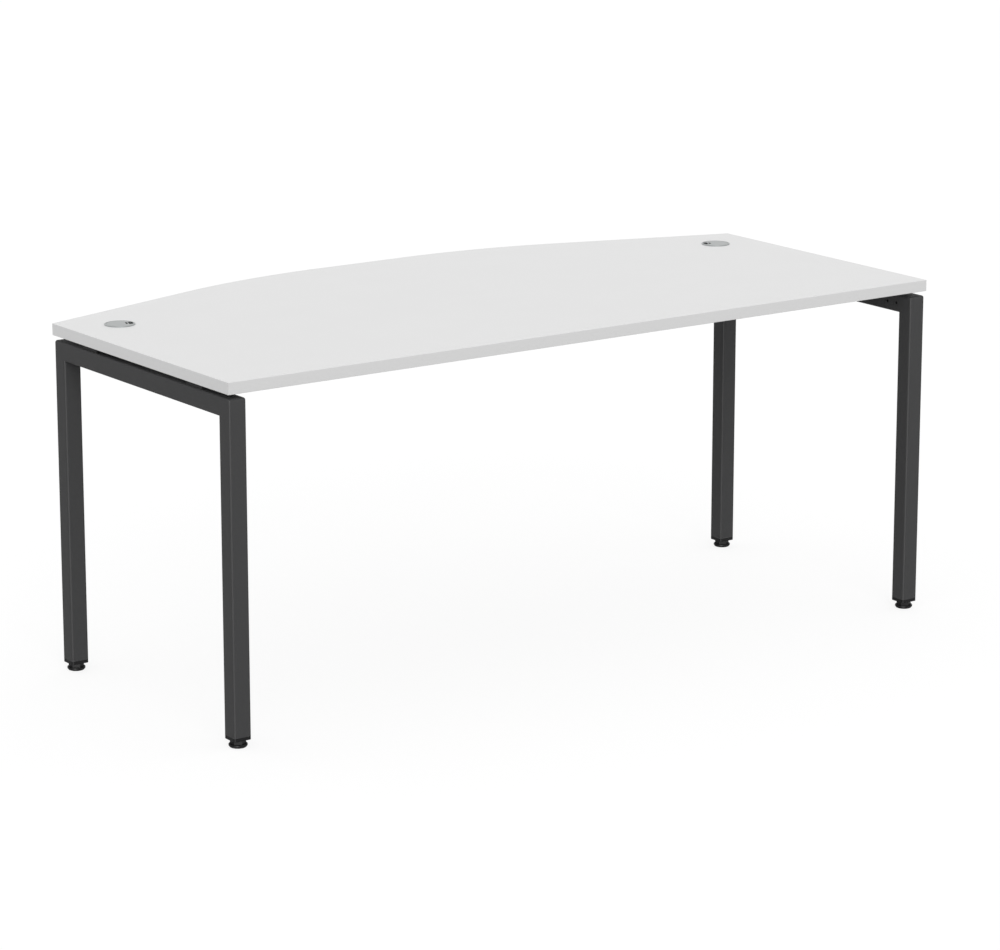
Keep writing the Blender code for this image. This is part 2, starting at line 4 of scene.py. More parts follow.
import bmesh
import bpy
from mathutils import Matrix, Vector

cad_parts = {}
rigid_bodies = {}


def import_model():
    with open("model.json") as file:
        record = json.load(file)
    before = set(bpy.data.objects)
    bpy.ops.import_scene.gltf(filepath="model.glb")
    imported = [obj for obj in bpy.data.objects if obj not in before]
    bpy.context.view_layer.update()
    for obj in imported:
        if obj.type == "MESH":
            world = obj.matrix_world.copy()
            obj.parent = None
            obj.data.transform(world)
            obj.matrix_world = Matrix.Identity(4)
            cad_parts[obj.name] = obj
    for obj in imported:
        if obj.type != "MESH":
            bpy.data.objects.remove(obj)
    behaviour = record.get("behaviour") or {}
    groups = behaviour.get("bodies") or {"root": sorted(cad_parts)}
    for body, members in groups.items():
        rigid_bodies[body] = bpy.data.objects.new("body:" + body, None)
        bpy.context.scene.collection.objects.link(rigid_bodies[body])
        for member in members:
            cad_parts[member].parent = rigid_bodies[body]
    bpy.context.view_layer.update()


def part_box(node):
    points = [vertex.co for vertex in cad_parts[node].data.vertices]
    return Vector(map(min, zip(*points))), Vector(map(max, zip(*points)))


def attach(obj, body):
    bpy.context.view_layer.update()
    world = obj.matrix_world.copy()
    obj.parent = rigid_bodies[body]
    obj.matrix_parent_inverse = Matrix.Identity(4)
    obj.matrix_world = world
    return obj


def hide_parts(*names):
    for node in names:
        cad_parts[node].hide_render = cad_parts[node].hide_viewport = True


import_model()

# Side frames
# Two inverted U frames of 40 mm square steel tube with a 2 mm wall, each of two legs and a rail.
# The tubes are mitred, welded, ground flush and drilled for their bolts. They are powder-coated in
# anthracite, with the fine orange peel to which such a coat cures.
tube_size = 0.040
tube_wall = 0.002
tube_corner = 0.005
bend_steps = 6
smooth_angle = math.radians(32)
quarter_turn = math.pi / 2
flat_angle = 0.001
weld_distance = 0.000002
saw_tolerance = 0.000001
parallel_share = 0.999
mostly = 0.9
hardly = 0.1
panel_hole_radius = 0.00325
panel_hole_places = (-0.3950745, -0.3650745)
bolt_hole_radius = 0.0033
access_hole_radius = 0.0075
noise_low = 0.3
noise_high = 0.7
peel_height = 0.00003
grit_height = 0.00001
coat_greys = [
    (0.30, (0.053, 0.053, 0.054)),
    (0.55, (0.064, 0.064, 0.065)),
    (0.85, (0.079, 0.079, 0.080)),
]
sides = ("left", "right")
ends = ("near", "far")


def only(piece):
    """Selects this object and no other."""
    bpy.ops.object.select_all(action="DESELECT")
    piece.select_set(True)
    bpy.context.view_layer.objects.active = piece


def work_on(piece):
    """Goes into edit mode with the whole of this piece selected."""
    only(piece)
    bpy.ops.object.mode_set(mode="EDIT")
    bpy.ops.mesh.select_all(action="SELECT")


def put_down():
    """Goes back to object mode."""
    bpy.ops.object.mode_set(mode="OBJECT")


def fresh(name):
    """Names a new primitive, puts its place into its mesh and starts work on it."""
    bpy.ops.object.transform_apply(location=True, rotation=True, scale=True)
    piece = bpy.context.object
    piece.name = piece.data.name = name
    work_on(piece)
    return piece


def block(name, low, high):
    """A box between its lowest and its highest corner, in edit mode."""
    low, high = Vector(low), Vector(high)
    bpy.ops.object.select_all(action="DESELECT")
    bpy.ops.mesh.primitive_cube_add(size=1, location=(low + high) / 2, scale=high - low)
    return fresh(name)


def choose(piece, kind, test):
    """Selects the corners, edges or faces of the piece for which the test is true."""
    bpy.ops.mesh.select_mode(type=kind)
    bpy.ops.mesh.select_all(action="DESELECT")
    shape = bmesh.from_edit_mesh(piece.data)
    shape.normal_update()
    for part in {"VERT": shape.verts, "EDGE": shape.edges, "FACE": shape.faces}[kind]:
        part.select = bool(test(part))
    shape.select_flush_mode()
    bmesh.update_edit_mesh(piece.data)


def pull(x, y, z):
    """Extrudes what is selected by this much."""
    bpy.ops.mesh.extrude_region_move(TRANSFORM_OT_translate={"value": (x, y, z)})


def round_off(radius, steps):
    """Rounds the selected edges."""
    bpy.ops.mesh.bevel(
        offset=radius, segments=steps, profile=0.5, affect="EDGES", clamp_overlap=False
    )


def runs_along(edge, axis):
    """Whether an edge runs along X, Y or Z: axis 0, 1 or 2."""
    run = edge.verts[1].co - edge.verts[0].co
    return abs(run[axis]) > parallel_share * run.length


def between(edge, one, other):
    """Whether an edge has a face whose normal passes one test and a face that passes the other."""
    normals = [face.normal for face in edge.link_faces]
    return any(one(normal) for normal in normals) and any(other(normal) for normal in normals)


def level(normal):
    """Whether a face lies flat, looking up or down."""
    return abs(normal.z) > mostly


def upright(normal):
    """Whether a face stands upright."""
    return abs(normal.z) < hardly


def apply_modifier(piece, kind, **settings):
    """Adds a modifier and applies it."""
    only(piece)
    modifier = piece.modifiers.new(kind.lower(), kind)
    for name, value in settings.items():
        setattr(modifier, name, value)
    bpy.ops.object.modifier_apply(modifier=modifier.name)


def keep_behind(piece, point, normal):
    """Saws the piece through in a plane, closes the cut and keeps what lies behind it."""
    work_on(piece)
    bpy.ops.mesh.bisect(
        plane_co=point,
        plane_no=normal,
        use_fill=True,
        clear_outer=True,
        threshold=saw_tolerance,
    )
    put_down()


def face_outwards(piece):
    """Merges doubled corners and turns every face outwards."""
    work_on(piece)
    bpy.ops.mesh.remove_doubles(threshold=weld_distance)
    bpy.ops.mesh.normals_make_consistent(inside=False)
    put_down()


def copied(piece, name, shift=(0, 0, 0), turn=(0, 0, 0)):
    """A copy with its own mesh, turned about the origin and then moved."""
    only(piece)
    bpy.ops.object.duplicate()
    copy = bpy.context.object
    copy.name = copy.data.name = name
    copy.rotation_euler = turn
    copy.location = shift
    bpy.ops.object.transform_apply(location=True, rotation=True, scale=True)
    return copy


def opposite(piece, name):
    """A copy on the other side of the desk."""
    copy = copied(piece, name)
    copy.scale.x = -1
    bpy.ops.object.transform_apply(location=False, rotation=False, scale=True)
    face_outwards(copy)
    return copy


def combine(piece, tool, operation):
    """Cuts the piece with a tool, or joins the two, and takes the tool away."""
    apply_modifier(piece, "BOOLEAN", operation=operation, solver="EXACT", object=tool)
    bpy.data.objects.remove(tool)


def rod(name, centre, radius, length, turn=(0, 0, 0), steps=32):
    """A plain round rod about its middle, or with 6 steps a hexagon one."""
    bpy.ops.object.select_all(action="DESELECT")
    bpy.ops.mesh.primitive_cylinder_add(
        vertices=steps, radius=radius, depth=length, location=centre, rotation=turn
    )
    piece = fresh(name)
    put_down()
    return piece


def drill(piece, centre, radius, length, turn=(0, 0, 0), steps=32):
    """Drills a hole about this middle."""
    combine(piece, rod("drill", centre, radius, length, turn, steps), "DIFFERENCE")


def middle_of(node):
    """The middle of a CAD node's box."""
    low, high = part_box(node)
    return (low + high) / 2


def hand_over(piece, finish, body, slot, *nodes):
    """Smooths a finished piece, gives it its finish and its body, and hides the nodes it stands
    for.
    """
    only(piece)
    bpy.ops.object.shade_smooth_by_angle(angle=smooth_angle)
    apply_modifier(piece, "WEIGHTED_NORMAL", mode="FACE_AREA", keep_sharp=True)
    if not piece.data.materials:
        piece.data.materials.append(finish)
    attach(piece, body)
    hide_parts(*nodes)


def new_finish(name, metallic=0.0, shine=0.5):
    """A material, and the Object coordinates that its patterns lie on."""
    finish = bpy.data.materials.new(name)
    finish.use_nodes = True
    shader = finish.node_tree.nodes["Principled BSDF"]
    shader.inputs["Metallic"].default_value = metallic
    shader.inputs["Specular IOR Level"].default_value = shine
    return finish, add_node(finish, "TexCoord").outputs["Object"]


def add_node(finish, kind, inputs=None, **settings):
    """A node whose sockets get numbers, colours or the outputs of other nodes."""
    node = finish.node_tree.nodes.new("ShaderNode" + kind)
    for name, value in settings.items():
        setattr(node, name, value)
    for name, value in (inputs or {}).items():
        if isinstance(value, bpy.types.NodeSocket):
            finish.node_tree.links.new(value, node.inputs[name])
        else:
            node.inputs[name].default_value = value
    return node


def speckle(finish, place, per_metre, detail=2.0):
    """Noise with about this many waves to the metre."""
    inputs = {"Vector": place, "Scale": per_metre, "Detail": detail}
    return add_node(finish, "TexNoise", inputs).outputs["Fac"]


def feed(finish, socket, output):
    """Links an output to a socket of the material's shader."""
    shader = finish.node_tree.nodes["Principled BSDF"]
    finish.node_tree.links.new(output, shader.inputs[socket])


def blended(finish, pattern, stops):
    """Colours laid along a pattern: stops are pairs of place and colour."""
    ramp = add_node(finish, "ValToRGB", {"Fac": pattern})
    elements = ramp.color_ramp.elements
    while len(elements) < len(stops):
        elements.new(0.5)
    for element, (position, colour) in zip(elements, stops):
        element.position = position
        element.color = (*colour, 1)
    return ramp.outputs["Color"]


def gloss(finish, pattern, dull, bright):
    """Lets the roughness wander between two values with a pattern."""
    spread = {"Value": pattern, "From Min": noise_low, "From Max": noise_high}
    spread.update({"To Min": bright, "To Max": dull})
    feed(finish, "Roughness", add_node(finish, "MapRange", spread).outputs["Result"])


def relief(finish, *layers):
    """Raises patterns one on top of the other: each layer is a pattern and its height in metres."""
    inputs = {"Strength": 1.0}
    for pattern, height in layers:
        inputs.update({"Height": pattern, "Distance": height})
        inputs["Normal"] = add_node(finish, "Bump", inputs).outputs["Normal"]
    feed(finish, "Normal", inputs["Normal"])


powder_coat, place = new_finish("anthracite_powder_coat", shine=0.04)
peel = speckle(powder_coat, place, per_metre=380.0, detail=1.0)
grit = speckle(powder_coat, place, per_metre=1900.0)
bands = speckle(powder_coat, place, per_metre=30.0, detail=3.0)
feed(powder_coat, "Base Color", blended(powder_coat, grit, coat_greys))
gloss(powder_coat, bands, dull=0.52, bright=0.44)
relief(powder_coat, (peel, peel_height), (grit, grit_height))

near_low, near_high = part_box("left_near_leg")
far_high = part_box("left_far_leg")[1]
rail_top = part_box("left_top_rail")[1].z
rail_under = rail_top - tube_size
rail_middle = rail_top - tube_size / 2
leg_bottom = near_low.z
frame_middle = (near_low.y + far_high.y) / 2

side_frame = block(
    "left_top_rail_tube", near_low, (near_high.x, near_low.y + tube_size, rail_under)
)
choose(side_frame, "FACE", lambda f: f.normal.z > mostly)
pull(0, 0, tube_size)
choose(side_frame, "FACE", lambda f: f.normal.y > mostly and f.calc_center_median().z > rail_under)
pull(0, far_high.y - near_low.y - 2 * tube_size, 0)
pull(0, tube_size, 0)
choose(
    side_frame,
    "FACE",
    lambda f: f.normal.z < -mostly and f.calc_center_median().y > far_high.y - tube_size,
)
pull(0, 0, leg_bottom - rail_under)
bpy.ops.mesh.select_all(action="SELECT")
bpy.ops.mesh.dissolve_limited(angle_limit=flat_angle)
choose(
    side_frame,
    "FACE",
    lambda f: f.normal.z < -mostly and f.calc_center_median().z < leg_bottom + tube_wall,
)
bpy.ops.mesh.delete(type="FACE")
choose(
    side_frame,
    "EDGE",
    lambda e: not e.is_boundary
    and (not runs_along(e, 0) or min(v.co.z for v in e.verts) > rail_top - tube_wall),
)
round_off(tube_corner, bend_steps)
put_down()
face_outwards(side_frame)
apply_modifier(side_frame, "SOLIDIFY", thickness=tube_wall, offset=-1, use_even_offset=True)

near_mitre = (0, near_low.y, rail_top)
far_mitre = (0, far_high.y, rail_top)
near_leg = copied(side_frame, "left_near_leg_tube")
keep_behind(near_leg, (0, frame_middle, 0), (0, 1, 0))
keep_behind(near_leg, near_mitre, (0, 1, 1))
far_leg = copied(side_frame, "left_far_leg_tube")
keep_behind(far_leg, (0, frame_middle, 0), (0, -1, 0))
keep_behind(far_leg, far_mitre, (0, -1, 1))
top_rail = side_frame
keep_behind(top_rail, near_mitre, (0, -1, -1))
keep_behind(top_rail, far_mitre, (0, 1, -1))

drill_run = 3 * tube_wall
facing_x = (0, quarter_turn, 0)
inner_wall = near_high.x - tube_wall / 2
for y in panel_hole_places:
    drill(top_rail, (inner_wall, y, rail_middle), panel_hole_radius, drill_run, facing_x)
for beam in ends:
    for bolt in ends:
        y = middle_of(f"{beam}_beam_left_bracket_{bolt}_bolt").y
        drill(top_rail, (inner_wall, y, rail_middle), bolt_hole_radius, drill_run, facing_x)
for end in ends:
    x, y, z = middle_of(f"left_{end}_spacer_bolt")
    drill(top_rail, (x, y, rail_top - tube_wall / 2), bolt_hole_radius, drill_run)
    drill(top_rail, (x, y, rail_under + tube_wall / 2), access_hole_radius, drill_run)

for tube, node in ((near_leg, "near_leg"), (far_leg, "far_leg"), (top_rail, "top_rail")):
    mirrored = opposite(tube, f"right_{node}_tube")
    hand_over(tube, powder_coat, "desk", "powder_coat", "left_" + node)
    hand_over(mirrored, powder_coat, "desk", "powder_coat", "right_" + node)

# Leg end caps
# Square caps of black moulded plastic, pushed into the open foot of each leg. Three ridges round
# the plug grip the tube, the flange covers its cut end, and a boss holds the leveller's nut.
cap_edge = 0.0008
plug_height = 0.020
plug_inset = 0.0033
plug_wall = 0.0016
ridge_depth = 0.001
plug_steps = (0.006, 0.0015, 0.0035, 0.0015, 0.0035, 0.0015, 0.0025)
ridge_middles = (0.00675, 0.01175, 0.01675)
boss_radius = 0.01254
boss_height = 0.013
nut_floor = 0.002
nut_corner = 0.00924
nut_clearance = 0.0003
stud_radius = 0.005
spark_height = 0.000012
plastic_blacks = [(0.30, (0.008, 0.008, 0.0085)), (0.75, (0.014, 0.014, 0.0145))]

moulded_plastic, place = new_finish("black_moulded_plastic", shine=0.06)
spark = speckle(moulded_plastic, place, per_metre=2400.0)
flow = speckle(moulded_plastic, place, per_metre=80.0)
feed(moulded_plastic, "Base Color", blended(moulded_plastic, spark, plastic_blacks))
gloss(moulded_plastic, flow, dull=0.50, bright=0.42)
relief(moulded_plastic, (spark, spark_height))

cap_low, cap_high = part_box("left_near_leg_cap")
cap_middle = middle_of("left_near_leg_cap")
cap = block("left_near_leg_end_cap", cap_low, (cap_high.x, cap_high.y, leg_bottom))
choose(cap, "EDGE", lambda e: runs_along(e, 2))
round_off(tube_corner, bend_steps)
choose(cap, "FACE", lambda f: f.normal.z > mostly)
bpy.ops.mesh.inset(thickness=plug_inset)
for step in plug_steps:
    pull(0, 0, step)
bpy.ops.mesh.inset(thickness=plug_wall)
pull(0, 0, -plug_height)
choose(
    cap,
    "FACE",
    lambda f: upright(f.normal)
    and f.normal.dot(f.calc_center_median() - cap_middle) > 0
    and any(abs(f.calc_center_median().z - leg_bottom - z) < cap_edge for z in ridge_middles),
)
bpy.ops.mesh.extrude_region_shrink_fatten(
    TRANSFORM_OT_shrink_fatten={"value": ridge_depth, "use_even_offset": True}
)
choose(
    cap,
    "EDGE",
    lambda e: between(e, lambda n: n.z < -mostly, upright)
    and max(v.co.z for v in e.verts) < cap_low.z + cap_edge,
)
round_off(cap_edge, steps=3)
put_down()
face_outwards(cap)
x, y, z = cap_middle
boss_middle = (x, y, leg_bottom + (boss_height - nut_floor) / 2)
combine(cap, rod("boss", boss_middle, boss_radius, boss_height + nut_floor, steps=48), "UNION")
seat_middle = (x, y, leg_bottom + nut_floor - nut_clearance + boss_height / 2)
drill(cap, seat_middle, nut_corner + nut_clearance, boss_height, steps=6)
drill(cap, (x, y, leg_bottom), stud_radius + nut_clearance, 2 * boss_height)
corners = [(side, end) for side in sides for end in ends]
for side, end in corners[1:]:
    node = f"{side}_{end}_leg_cap"
    placed = copied(cap, f"{side}_{end}_leg_end_cap", middle_of(node) - cap_middle)
    hand_over(placed, moulded_plastic, "desk", "black_plastic", node)
hand_over(cap, moulded_plastic, "desk", "black_plastic", "left_near_leg_cap")

# Leg nuts
# A zinc-plated steel M10 nut sits in the boss of each cap. Its corners are chamfered top and
# bottom, and the leveller's stud screws through it.
nut_flat = 0.016
nut_chamfer = 0.0009
crystal_height = 0.000006
zinc_blues = [(0.30, (0.50, 0.52, 0.55)), (0.50, (0.60, 0.62, 0.64)), (0.70, (0.68, 0.68, 0.67))]

zinc, place = new_finish("zinc_plated_steel", metallic=1.0)
crystals = speckle(zinc, place, per_metre=700.0, detail=4.0)
feed(zinc, "Base Color", blended(zinc, crystals, zinc_blues))
gloss(zinc, speckle(zinc, place, per_metre=1500.0), dull=0.42, bright=0.28)
relief(zinc, (crystals, crystal_height))


def line(name, points):
    """A line through these points, in edit mode, with its last point selected."""
    bpy.ops.object.select_all(action="DESELECT")
    bpy.ops.mesh.primitive_plane_add(size=tube_wall, location=points[0])
    piece = fresh(name)
    bpy.ops.mesh.select_mode(type="VERT")
    bpy.ops.mesh.merge(type="CENTER")
    draw_on(points)
    return piece


def draw_on(points):
    """Carries a line on from the first of these points, which is selected, to the last."""
    for start, end in zip(points, points[1:]):
        step = Vector(end) - Vector(start)
        bpy.ops.mesh.extrude_vertices_move(TRANSFORM_OT_translate={"value": step})


def turned(name, profile, centre=(0, 0, 0), steps=48):
    """A solid turned about an upright axis through this centre, from (radius, height) points."""
    x, y, z = centre
    piece = line(name, [(x + radius, y, z + height) for radius, height in profile])
    bpy.ops.mesh.select_all(action="SELECT")
    bpy.ops.mesh.spin(steps=steps, angle=2 * math.pi, center=centre, axis=(0, 0, 1))
    put_down()
    face_outwards(piece)
    return piece


nut_middle = middle_of("left_near_leg_nut")
half = nut_middle.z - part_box("left_near_leg_nut")[0].z
nut = rod("left_near_leg_captive_nut", nut_middle, nut_corner, 2 * half, steps=6)
barrel = [
    (0, -half - nut_chamfer),
    (nut_flat / 2 - nut_chamfer, -half - nut_chamfer),
    (nut_corner + nut_chamfer, nut_chamfer / 2 - half),
    (nut_corner + nut_chamfer, half - nut_chamfer / 2),
    (nut_flat / 2 - nut_chamfer, half + nut_chamfer),
    (0, half + nut_chamfer),
]
combine(nut, turned("barrel", barrel, nut_middle), "INTERSECT")
drill(nut, nut_middle, stud_radius + nut_clearance, 4 * half)
for side, end in corners[1:]:
    node = f"{side}_{end}_leg_nut"
    placed = copied(nut, f"{side}_{end}_leg_captive_nut", middle_of(node) - nut_middle)
    hand_over(placed, zinc, "desk", "zinc_plated_steel", node)
hand_over(nut, zinc, "desk", "zinc_plated_steel", "left_near_leg_nut")

# Leveller studs
# Each leveller is carried by a zinc-plated M10 stud with a right-hand thread of 1.5 mm pitch,
# rolled over its whole length. Turning the foot winds it down out of the nut.
stud_pitch = 0.0015
stud_chamfer = 0.0011
thread_depth_share = 0.6134
root_share = 0.25
crest_start_share = 0.5625
crest_end_share = 0.6875
crest_clearance = 0.0005
spare_turns = 2
cut_share = 0.01


def threaded(name, radius, pitch, low, high, point, taper, steps=24):
    """A threaded rod on the upright axis at the origin, which tapers at its top to a point."""
    root = radius - thread_depth_share * pitch
    start = low - spare_turns * pitch
    crest = [(radius, crest_start_share), (radius, crest_end_share)]
    tooth = [(root, 0), (root, root_share), *crest, (root, 1)]
    piece = line(name, [(out, 0, start + rise * pitch) for out, rise in tooth])
    put_down()
    turns = math.ceil((high - low) / pitch) + 2 * spare_turns
    apply_modifier(
        piece, "SCREW", screw_offset=pitch, iterations=turns, steps=steps, render_steps=steps
    )
    face_outwards(piece)
    keep_behind(piece, (0, 0, low + cut_share * pitch), (0, 0, -1))
    keep_behind(piece, (0, 0, high - cut_share * pitch), (0, 0, 1))
    face_outwards(piece)
    wide = radius + crest_clearance
    envelope = [(0, low), (root, low), (wide, low + wide - root), (wide, high - taper)]
    tip = turned("tip", envelope + [(point, high), (0, high)], steps=steps)
    combine(piece, tip, "INTERSECT")
    return piece


stud_low, stud_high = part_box("left_near_leveller_stud")
stud = threaded(
    "stud",
    stud_radius,
    stud_pitch,
    stud_low.z,
    stud_high.z,
    stud_radius - stud_chamfer,
    stud_chamfer + crest_clearance,
)
for side, end in corners:
    node = f"{side}_{end}_leveller_stud"
    x, y, z = middle_of(node)
    placed = copied(stud, f"{side}_{end}_leveller_screw", (x, y, 0))
    hand_over(placed, zinc, f"{side}_{end}_stud", "zinc_plated_steel", node)
bpy.data.objects.remove(stud)

# Leveller feet
# Round black plastic feet, moulded onto the studs: a disc that bevels in to its sole, and a hexagon
# collar above it for fingers or a spanner.
disc_radius = 0.01925
disc_height = 0.0072
disc_rim = 0.0035
disc_shoulder = 0.0016
sole_radius = 0.0165
sole_edge = 0.0004
collar_radius = 0.0164
collar_top = 0.0157
collar_edge = 0.0006
stud_seat = 0.0027


def arc(centre, radius, start, sweep, steps):
    """Points along an arc, with both of its ends, as pairs."""
    turns = [start + sweep * i / steps for i in range(steps + 1)]
    return [(centre[0] + radius * math.cos(t), centre[1] + radius * math.sin(t)) for t in turns]


shoulder = (disc_radius - disc_shoulder, disc_height - disc_shoulder)
disc = [
    (0, 0),
    (sole_radius - sole_edge, 0),
    (sole_radius + sole_edge, sole_edge),
    (disc_radius, disc_rim),
    *arc(shoulder, disc_shoulder, 0, quarter_turn, steps=6),
    (0, disc_height),
]
foot = turned("foot", disc, steps=96)
collar_middle = (0, 0, (disc_rim + collar_top) / 2)
collar = rod("collar", collar_middle, collar_radius, collar_top - disc_rim, steps=6)
work_on(collar)
choose(collar, "EDGE", lambda e: runs_along(e, 2))
round_off(collar_edge, steps=3)
choose(collar, "EDGE", lambda e: between(e, lambda n: n.z > mostly, upright))
round_off(collar_edge, steps=3)
put_down()
combine(foot, collar, "UNION")
drill(foot, (0, 0, collar_top), stud_radius + nut_clearance, 2 * (collar_top - stud_seat))
for side, end in corners:
    node = f"{side}_{end}_leveller_base"
    x, y, z = middle_of(node)
    placed = copied(foot, f"{side}_{end}_leveller_foot", (x, y, 0))
    hand_over(placed, moulded_plastic, f"{side}_{end}_foot", "black_plastic", node)
bpy.data.objects.remove(foot)

# Spacers
# Dark plastic blocks between the rails and the top, two on each rail. They hold the top clear of
# the frame, which leaves the shadow gap, and the top's bolts pass up through them.
spacer_corner = 0.002
spacer_edge = 0.0004
spacer_grain_height = 0.000015
spacer_darks = [(0.30, (0.020, 0.020, 0.021)), (0.70, (0.032, 0.032, 0.033))]

spacer_plastic, place = new_finish("dark_spacer_plastic", shine=0.1)
grains = speckle(spacer_plastic, place, per_metre=1800.0)
feed(spacer_plastic, "Base Color", blended(spacer_plastic, grains, spacer_darks))
gloss(spacer_plastic, grains, dull=0.62, bright=0.50)
relief(spacer_plastic, (grains, spacer_grain_height))

spacer_middle = middle_of("left_near_spacer")
spacer = block("left_near_spacer_block", *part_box("left_near_spacer"))
choose(spacer, "EDGE", lambda e: runs_along(e, 2))
round_off(spacer_corner, bend_steps)
choose(spacer, "EDGE", lambda e: between(e, level, upright))
round_off(spacer_edge, steps=2)
put_down()
drill(spacer, spacer_middle, bolt_hole_radius, tube_size)
for side, end in corners[1:]:
    node = f"{side}_{end}_spacer"
    placed = copied(spacer, f"{side}_{end}_spacer_block", middle_of(node) - spacer_middle)
    hand_over(placed, spacer_plastic, "desk", "spacer_plastic", node)
hand_over(spacer, spacer_plastic, "desk", "spacer_plastic", "left_near_spacer")

# Bolts and screws
# Zinc-plated M6 button-head bolts with a hexagon socket hold the brackets to the rails and the
# top to the spacers. Pan-head chipboard screws fix the beams and their brackets under the top.
bolt_radius = 0.003
bolt_pitch = 0.001
bolt_chamfer = 0.0006
bolt_head = (0.0055, 0.0035)
bolt_socket = (0.0023, 0.0020)
screw_radius = 0.002
screw_pitch = 0.0014
screw_point = 0.0003
screw_taper = 0.004
screw_head = (0.0045, 0.0028)
screw_socket = (0.0018, 0.0013)
head_edge = 0.0007
head_flat_share = 0.5
dome_steps = 6
shank_start = -0.0009


def headed(name, shank, head, socket):
    """Joins a shank to a domed head with a hexagon socket, whose underside lies at the origin."""
    radius, height = head
    flat = head_flat_share * radius
    centre = (flat, -head_edge)
    squash = (height - head_edge) / (radius - flat)
    dome = [
        (out, -head_edge + (drop + head_edge) * squash)
        for out, drop in arc(centre, radius - flat, 0, -quarter_turn, dome_steps)
    ]
    piece = turned(name, [(0, 0), (radius, 0), *dome, (0, -height)], steps=32)
    drill(piece, (0, 0, -height), socket[0], 2 * socket[1], steps=6)
    combine(piece, shank, "UNION")
    face_outwards(piece)
    return piece


def fasten(pattern, node, seat, turn=(0, 0, 0)):
    """Puts a copy of a bolt or screw where its node is, with its head against the seat."""
    placed = copied(pattern, node + "_threaded", seat, turn)
    hand_over(placed, zinc, "desk", "zinc_plated_steel", node)


def bolt_of(name, reach):
    """A bolt whose shank reaches this far."""
    point = bolt_radius - bolt_chamfer
    taper = bolt_chamfer + crest_clearance
    shank = threaded("shank", bolt_radius, bolt_pitch, shank_start, reach, point, taper, 16)
    return headed(name, shank, bolt_head, bolt_socket)


def screw_of(name, reach):
    """A chipboard screw whose point reaches this far."""
    shank = threaded(
        "shank", screw_radius, screw_pitch, shank_start, reach, screw_point, screw_taper, 16
    )
    return headed(name, shank, screw_head, screw_socket)


low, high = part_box("left_near_spacer_bolt")
seat = low.z + bolt_head[1]
long_bolt = bolt_of("long_bolt", high.z - seat)
for side, end in corners:
    node = f"{side}_{end}_spacer_bolt"
    x, y, z = middle_of(node)
    fasten(long_bolt, node, (x, y, seat))
bpy.data.objects.remove(long_bolt)

low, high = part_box("near_beam_left_bracket_near_bolt")
short_bolt = bolt_of("short_bolt", high.x - low.x - bolt_head[1])
for beam in ends:
    for bolt in ends:
        node = f"{beam}_beam_left_bracket_{bolt}_bolt"
        x, y, z = middle_of(node)
        fasten(short_bolt, node, (high.x - bolt_head[1], y, z), (0, -quarter_turn, 0))
        node = f"{beam}_beam_right_bracket_{bolt}_bolt"
        fasten(short_bolt, node, (bolt_head[1] - high.x, y, z), (0, quarter_turn, 0))
bpy.data.objects.remove(short_bolt)

for places in (("middle",), sides):
    low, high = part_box(f"near_beam_{places[0]}_screw")
    seat = low.z + screw_head[1]
    screw = screw_of("screw", high.z - seat)
    for beam in ends:
        for place_name in places:
            node = f"{beam}_beam_{place_name}_screw"
            x, y, z = middle_of(node)
            fasten(screw, node, (x, y, seat))
    bpy.data.objects.remove(screw)

# Beams
# Two channels folded from 2 mm steel sheet, open below, carry the top from rail to rail. They are
# powder-coated like the frames and screwed up into the board.
beam_sheet = 0.002
beam_bend = 0.004
screw_hole_radius = 0.0023

for beam in ends:
    channel = block(f"{beam}_beam_channel", *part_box(beam + "_beam"))
    choose(channel, "FACE", lambda f: f.normal.z < -mostly or abs(f.normal.x) > mostly)
    bpy.ops.mesh.delete(type="FACE")
    choose(channel, "EDGE", lambda e: runs_along(e, 0) and not e.is_boundary)
    round_off(beam_bend, bend_steps)
    put_down()
    apply_modifier(channel, "SOLIDIFY", thickness=beam_sheet, offset=-1, use_even_offset=True)
    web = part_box(beam + "_beam")[1].z - beam_sheet / 2
    for place_name in (*sides, "middle"):
        x, y, z = middle_of(f"{beam}_beam_{place_name}_screw")
        drill(channel, (x, y, web), screw_hole_radius, 2 * beam_sheet)
    hand_over(channel, powder_coat, "desk", "powder_coat", beam + "_beam")

# Beam brackets
# Angles folded from 3 mm steel sheet, with rounded corners. One leg is bolted to the rail's inner
# wall, and the other runs under the beam's web and is screwed through it into the top.
bracket_sheet = 0.003
bracket_bend = 0.005
bracket_corner = 0.009

for beam in ends:
    node = f"{beam}_beam_left_bracket"
    low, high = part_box(node)
    angle = block(node + "_angle", low, high)
    choose(angle, "FACE", lambda f: not (f.normal.x < -mostly or f.normal.z > mostly))
    bpy.ops.mesh.delete(type="FACE")
    choose(angle, "VERT", lambda v: v.co.x > high.x - bracket_bend or v.co.z < low.z + bracket_bend)
    bpy.ops.mesh.bevel(offset=bracket_corner, segments=bend_steps, profile=0.5, affect="VERTICES")
    choose(angle, "EDGE", lambda e: runs_along(e, 1) and not e.is_boundary)
    round_off(bracket_bend, bend_steps)
    put_down()
    apply_modifier(angle, "SOLIDIFY", thickness=bracket_sheet, offset=-1, use_even_offset=True)
    for bolt in ends:
        x, y, z = middle_of(f"{node}_{bolt}_bolt")
        drill(angle, (low.x, y, z), bolt_hole_radius, 4 * bracket_sheet, facing_x)
    x, y, z = middle_of(f"{beam}_beam_left_screw")
    drill(angle, (x, y, high.z), screw_hole_radius, 4 * bracket_sheet)
    mirrored = opposite(angle, f"{beam}_beam_right_bracket_angle")
    hand_over(angle, powder_coat, "desk", "powder_coat", node)
    hand_over(mirrored, powder_coat, "desk", "powder_coat", f"{beam}_beam_right_bracket")

